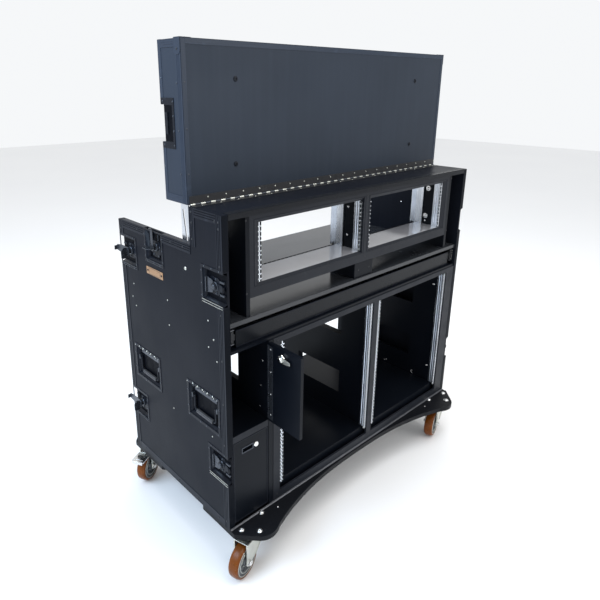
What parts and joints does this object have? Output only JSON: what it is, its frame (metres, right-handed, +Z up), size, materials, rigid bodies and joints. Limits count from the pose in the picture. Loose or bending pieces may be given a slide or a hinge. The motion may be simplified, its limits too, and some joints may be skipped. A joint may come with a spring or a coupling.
{
  "type": "equipment rack case",
  "caption": "Wheeled double-width equipment rack case on swivel castors, with open rack bays, a hinged lid, a desk, a keyboard drawer, a locking side column, latches and handles.",
  "frame": {"origin": "on the floor, under the middle of the overall bounding box", "axes": "+X to the right seen from the front, +Y from the front to the rear, +Z up"},
  "size_m": [1.3696, 0.8622, 1.702],
  "materials": {
    "laminated_panel": "fine-grained black laminate on plywood",
    "lid_panel": "fine-grained black laminate on plywood",
    "black_board": "plywood board with a smooth black phenolic film",
    "rack_frame": "satin black powder coat on aluminium",
    "rack_rail": "bright zinc-plated steel",
    "hinge": "black-coated steel",
    "stay": "bright zinc-plated steel",
    "slide": "bright zinc-plated steel",
    "lock": "polished nickel-plated die casting",
    "latch": "black-coated steel",
    "handle": "black-coated steel with a rubber sleeve",
    "castor_steel": "yellow-grey zinc plate",
    "castor_tyre": "orange-brown polyurethane"
  },
  "bodies": {
    "case": {"base_board": "black_board", "left_side_panel": "laminated_panel", "right_side_panel": "laminated_panel", "top_panel": "laminated_panel", "desk_board": "black_board", "drawer_bay_board": "black_board", "support_block": "black_board", "upper_box": "black_board", "lower_box": "black_board", "column_carcass": "black_board", "upper_front_frame": "rack_frame", "lower_front_frame": "rack_frame", "upper_left_bay_left_rail": "rack_rail", "upper_left_bay_right_rail": "rack_rail", "upper_right_bay_left_rail": "rack_rail", "upper_right_bay_right_rail": "rack_rail", "lower_left_bay_left_rail": "rack_rail", "lower_left_bay_right_rail": "rack_rail", "lower_right_bay_left_rail": "rack_rail", "lower_right_bay_right_rail": "rack_rail", "lid_hinge_case_leaf": "hinge", "drawer_slide_left": "slide", "drawer_slide_right": "slide", "front_left_castor_plate": "castor_steel", "front_right_castor_plate": "castor_steel", "rear_left_castor_plate": "castor_steel", "rear_right_castor_plate": "castor_steel"},
    "lid": {"lid_shell": "lid_panel", "lid_hinge_lid_leaf": "hinge"},
    "lid_stay_left_arm": {"lid_stay_left": "stay"},
    "lid_stay_right_arm": {"lid_stay_right": "stay"},
    "drawer": {"keyboard_drawer": "black_board"},
    "door": {"column_door": "black_board"},
    "door_lock": {"column_door_lock": "lock"},
    "tall_drawer": {"column_drawer": "black_board"},
    "drawer_lock": {"column_drawer_lock": "lock"},
    "left_front_upper_latch_key": {"left_front_upper_latch": "latch"},
    "left_front_lower_latch_key": {"left_front_lower_latch": "latch"},
    "left_rear_upper_latch_key": {"left_rear_upper_latch": "latch"},
    "left_rear_lower_latch_key": {"left_rear_lower_latch": "latch"},
    "left_lid_latch_key": {"left_lid_latch": "latch"},
    "left_front_handle_bail": {"left_front_handle": "handle"},
    "left_rear_handle_bail": {"left_rear_handle": "handle"},
    "right_front_upper_latch_key": {"right_front_upper_latch": "latch"},
    "right_front_lower_latch_key": {"right_front_lower_latch": "latch"},
    "right_rear_upper_latch_key": {"right_rear_upper_latch": "latch"},
    "right_rear_lower_latch_key": {"right_rear_lower_latch": "latch"},
    "right_lid_latch_key": {"right_lid_latch": "latch"},
    "right_front_handle_bail": {"right_front_handle": "handle"},
    "right_rear_handle_bail": {"right_rear_handle": "handle"},
    "front_left_castor": {"front_left_castor_fork": "castor_steel"},
    "front_left_wheel": {"front_left_castor_wheel": "castor_tyre"},
    "front_right_castor": {"front_right_castor_fork": "castor_steel"},
    "front_right_wheel": {"front_right_castor_wheel": "castor_tyre"},
    "rear_left_castor": {"rear_left_castor_fork": "castor_steel"},
    "rear_left_wheel": {"rear_left_castor_wheel": "castor_tyre"},
    "rear_left_brake": {"rear_left_brake_pedal": "castor_steel"},
    "rear_right_castor": {"rear_right_castor_fork": "castor_steel"},
    "rear_right_wheel": {"rear_right_castor_wheel": "castor_tyre"},
    "rear_right_brake": {"rear_right_brake_pedal": "castor_steel"}
  },
  "joints": [
    {"name": "lid_hinge", "type": "hinge", "parent": "case", "child": "lid", "pos_m": [0.0145, -0.1231, 1.248], "axis": [1, 0, 0], "range_deg": [-90, 0]},
    {"name": "lid_stay_left_pivot", "type": "hinge", "parent": "lid", "child": "lid_stay_left_arm", "pos_m": [-0.6105, -0.0661, 1.29], "axis": [1, 0, 0], "range_deg": [0, 90]},
    {"name": "lid_stay_right_pivot", "type": "hinge", "parent": "lid", "child": "lid_stay_right_arm", "pos_m": [0.6395, -0.0661, 1.29], "axis": [1, 0, 0], "range_deg": [0, 90]},
    {"name": "keyboard_drawer_slide", "type": "slide", "parent": "case", "child": "drawer", "axis": [0, -1, 0], "range_m": [0, 0.35]},
    {"name": "column_door_hinge", "type": "hinge", "parent": "case", "child": "door", "pos_m": [-0.467, -0.2841, 0.671], "axis": [0, 0, 1], "range_deg": [-90, 0]},
    {"name": "column_door_lock_turn", "type": "hinge", "parent": "door", "child": "door_lock", "pos_m": [-0.469, -0.3531, 0.782], "axis": [1, 0, 0], "range_deg": [0, 90]},
    {"name": "column_drawer_slide", "type": "slide", "parent": "case", "child": "tall_drawer", "axis": [0, -1, 0], "range_m": [0, 0.34]},
    {"name": "column_drawer_lock_turn", "type": "hinge", "parent": "tall_drawer", "child": "drawer_lock", "pos_m": [-0.5185, -0.2801, 0.459], "axis": [0, 1, 0], "range_deg": [0, 90]},
    {"name": "left_front_upper_latch_turn", "type": "hinge", "parent": "case", "child": "left_front_upper_latch_key", "pos_m": [-0.6215, -0.2321, 1.026], "axis": [-1, 0, 0], "range_deg": [0, 180]},
    {"name": "left_front_lower_latch_turn", "type": "hinge", "parent": "case", "child": "left_front_lower_latch_key", "pos_m": [-0.6215, -0.2361, 0.409], "axis": [-1, 0, 0], "range_deg": [0, 180]},
    {"name": "left_rear_upper_latch_turn", "type": "hinge", "parent": "case", "child": "left_rear_upper_latch_key", "pos_m": [-0.6215, 0.2739, 1.0195], "axis": [-1, 0, 0], "range_deg": [0, 180]},
    {"name": "left_rear_lower_latch_turn", "type": "hinge", "parent": "case", "child": "left_rear_lower_latch_key", "pos_m": [-0.6215, 0.2739, 0.398], "axis": [-1, 0, 0], "range_deg": [0, 180]},
    {"name": "left_lid_latch_turn", "type": "hinge", "parent": "case", "child": "left_lid_latch_key", "pos_m": [-0.6215, 0.0959, 1.072], "axis": [-1, 0, 0], "range_deg": [0, 180]},
    {"name": "left_front_handle_swing", "type": "hinge", "parent": "case", "child": "left_front_handle_bail", "pos_m": [-0.628, -0.1571, 0.6015], "axis": [0, 1, 0], "range_deg": [0, 90], "stiffness_Nm_per_rad": 0.5, "springref_deg": -5.73},
    {"name": "left_rear_handle_swing", "type": "hinge", "parent": "case", "child": "left_rear_handle_bail", "pos_m": [-0.628, 0.1939, 0.6015], "axis": [0, 1, 0], "range_deg": [0, 90], "stiffness_Nm_per_rad": 0.5, "springref_deg": -5.73},
    {"name": "right_front_upper_latch_turn", "type": "hinge", "parent": "case", "child": "right_front_upper_latch_key", "pos_m": [0.6505, -0.2321, 1.026], "axis": [1, 0, 0], "range_deg": [0, 180]},
    {"name": "right_front_lower_latch_turn", "type": "hinge", "parent": "case", "child": "right_front_lower_latch_key", "pos_m": [0.6505, -0.2361, 0.409], "axis": [1, 0, 0], "range_deg": [0, 180]},
    {"name": "right_rear_upper_latch_turn", "type": "hinge", "parent": "case", "child": "right_rear_upper_latch_key", "pos_m": [0.6505, 0.2739, 1.0195], "axis": [1, 0, 0], "range_deg": [0, 180]},
    {"name": "right_rear_lower_latch_turn", "type": "hinge", "parent": "case", "child": "right_rear_lower_latch_key", "pos_m": [0.6505, 0.2739, 0.398], "axis": [1, 0, 0], "range_deg": [0, 180]},
    {"name": "right_lid_latch_turn", "type": "hinge", "parent": "case", "child": "right_lid_latch_key", "pos_m": [0.6505, 0.0959, 1.072], "axis": [1, 0, 0], "range_deg": [0, 180]},
    {"name": "right_front_handle_swing", "type": "hinge", "parent": "case", "child": "right_front_handle_bail", "pos_m": [0.657, -0.1571, 0.6015], "axis": [0, -1, 0], "range_deg": [0, 90], "stiffness_Nm_per_rad": 0.5, "springref_deg": -5.73},
    {"name": "right_rear_handle_swing", "type": "hinge", "parent": "case", "child": "right_rear_handle_bail", "pos_m": [0.657, 0.1939, 0.6015], "axis": [0, -1, 0], "range_deg": [0, 90], "stiffness_Nm_per_rad": 0.5, "springref_deg": -5.73},
    {"name": "front_left_castor_swivel", "type": "hinge", "parent": "case", "child": "front_left_castor", "pos_m": [-0.5615, -0.2976, 0.15], "axis": [0, 0, 1], "continuous": true},
    {"name": "front_left_wheel_spin", "type": "hinge", "parent": "front_left_castor", "child": "front_left_wheel", "pos_m": [-0.60668, -0.31055, 0.0625], "axis": [0.2756, -0.9613, 0], "continuous": true},
    {"name": "front_right_castor_swivel", "type": "hinge", "parent": "case", "child": "front_right_castor", "pos_m": [0.5905, -0.2976, 0.15], "axis": [0, 0, 1], "continuous": true},
    {"name": "front_right_wheel_spin", "type": "hinge", "parent": "front_right_castor", "child": "front_right_wheel", "pos_m": [0.54532, -0.31055, 0.0625], "axis": [0.2756, -0.9613, 0], "continuous": true},
    {"name": "rear_left_castor_swivel", "type": "hinge", "parent": "case", "child": "rear_left_castor", "pos_m": [-0.5615, 0.3464, 0.15], "axis": [0, 0, 1], "continuous": true},
    {"name": "rear_left_wheel_spin", "type": "hinge", "parent": "rear_left_castor", "child": "rear_left_wheel", "pos_m": [-0.60261, 0.32361, 0.0625], "axis": [0.4848, -0.8746, 0], "continuous": true},
    {"name": "rear_left_brake_press", "type": "hinge", "parent": "rear_left_castor", "child": "rear_left_brake", "pos_m": [-0.60261, 0.32361, 0.134], "axis": [0.4848, -0.8746, 0], "range_deg": [0, 10], "stiffness_Nm_per_rad": 2, "springref_deg": -5.73},
    {"name": "rear_right_castor_swivel", "type": "hinge", "parent": "case", "child": "rear_right_castor", "pos_m": [0.5905, 0.3464, 0.15], "axis": [0, 0, 1], "continuous": true},
    {"name": "rear_right_wheel_spin", "type": "hinge", "parent": "rear_right_castor", "child": "rear_right_wheel", "pos_m": [0.54724, 0.32804, 0.0625], "axis": [0.3907, -0.9205, 0], "continuous": true},
    {"name": "rear_right_brake_press", "type": "hinge", "parent": "rear_right_castor", "child": "rear_right_brake", "pos_m": [0.54724, 0.32804, 0.134], "axis": [0.3907, -0.9205, 0], "range_deg": [0, 10], "stiffness_Nm_per_rad": 2, "springref_deg": -5.73}
  ],
  "couplings": [
    {"joint": "lid_stay_left_pivot", "follows": "lid_hinge", "ratio": -1},
    {"joint": "lid_stay_right_pivot", "follows": "lid_hinge", "ratio": -1}
  ]
}
